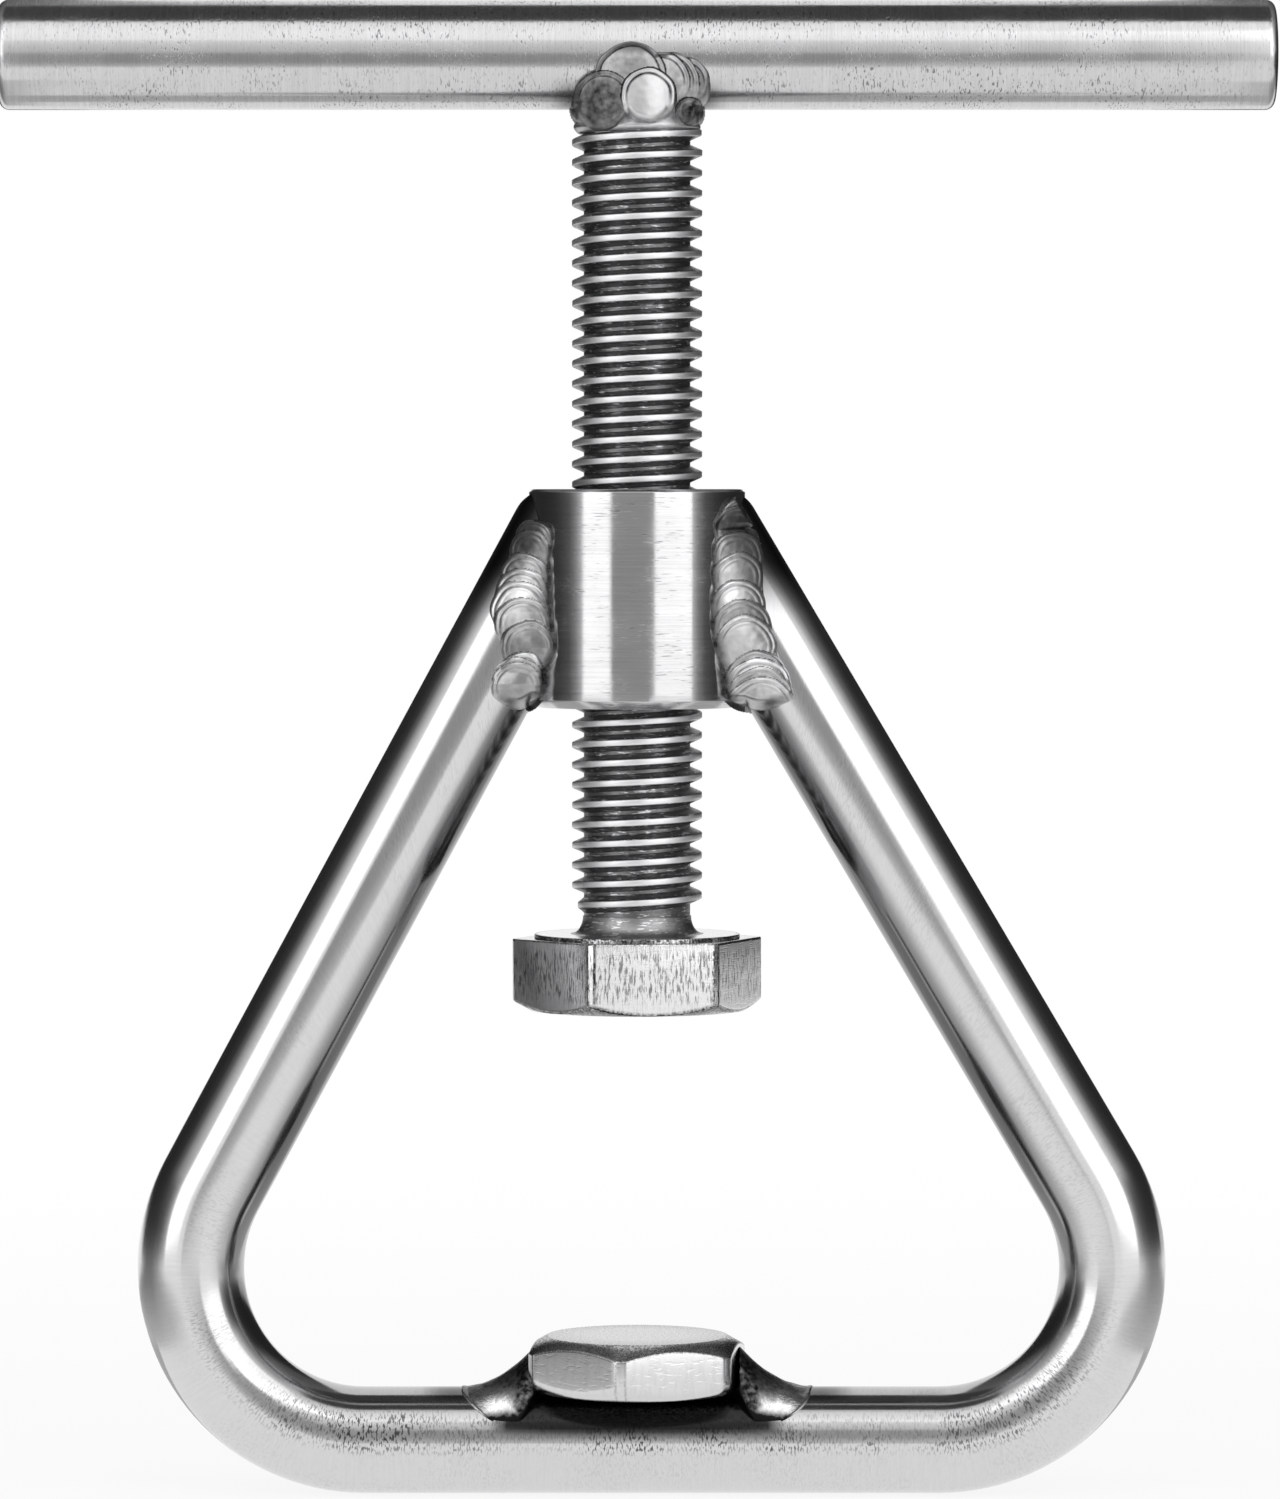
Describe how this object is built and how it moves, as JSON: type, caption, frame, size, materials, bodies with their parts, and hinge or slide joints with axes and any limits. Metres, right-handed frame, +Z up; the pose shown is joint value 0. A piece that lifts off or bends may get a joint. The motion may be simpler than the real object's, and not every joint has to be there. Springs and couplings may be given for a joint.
{
  "type": "screw press nutcracker",
  "caption": "Welded screw-press nutcracker: a triangular bent-rod frame with a threaded collar, a T-handled screw whose hex head presses down, and a hex anvil on the base.",
  "frame": {"origin": "on the ground under the screw's axis, at the middle of the box and the underside of the base rod", "axes": "+Z up along the screw, X along the handle bar and the base rod, -Y towards the picture's camera"},
  "size_m": [0.0954, 0.0178, 0.1119],
  "materials": {
    "rod_steel": "stainless rod, drawn and tumbled, with fine scratches",
    "handle_steel": "stainless bar, brushed around its girth",
    "collar_steel": "turned stainless bush, polished",
    "screw_steel": "rolled-thread stainless bolt",
    "hex_steel": "stainless hexagon, forged and worn",
    "weld_steel": "stainless weld metal, rippled, cleaned of colour"
  },
  "bodies": {
    "frame": {"frame_rod": "rod_steel", "collar": "collar_steel", "anvil": "hex_steel", "collar_weld_left_front": "weld_steel", "collar_weld_left_back": "weld_steel", "collar_weld_right_front": "weld_steel", "collar_weld_right_back": "weld_steel", "anvil_weld_left": "weld_steel", "anvil_weld_right": "weld_steel"},
    "travel": {"handle_weld_root": "weld_steel"},
    "screw": {"screw": "screw_steel", "handle_bar": "handle_steel", "handle_weld_front": "weld_steel", "handle_weld_back": "weld_steel"}
  },
  "joints": [
    {"name": "screw_travel", "type": "slide", "parent": "frame", "child": "travel", "axis": [0, 0, 1], "range_m": [-0.02401, 0.01351]},
    {"name": "screw_turn", "type": "hinge", "parent": "travel", "child": "screw", "pos_m": [0, 0, 0.06], "axis": [0, 0, 1], "range_deg": [-5760, 3240]}
  ],
  "couplings": [
    {"joint": "screw_travel", "follows": "screw_turn", "m_per_rad": 0.00023873}
  ]
}
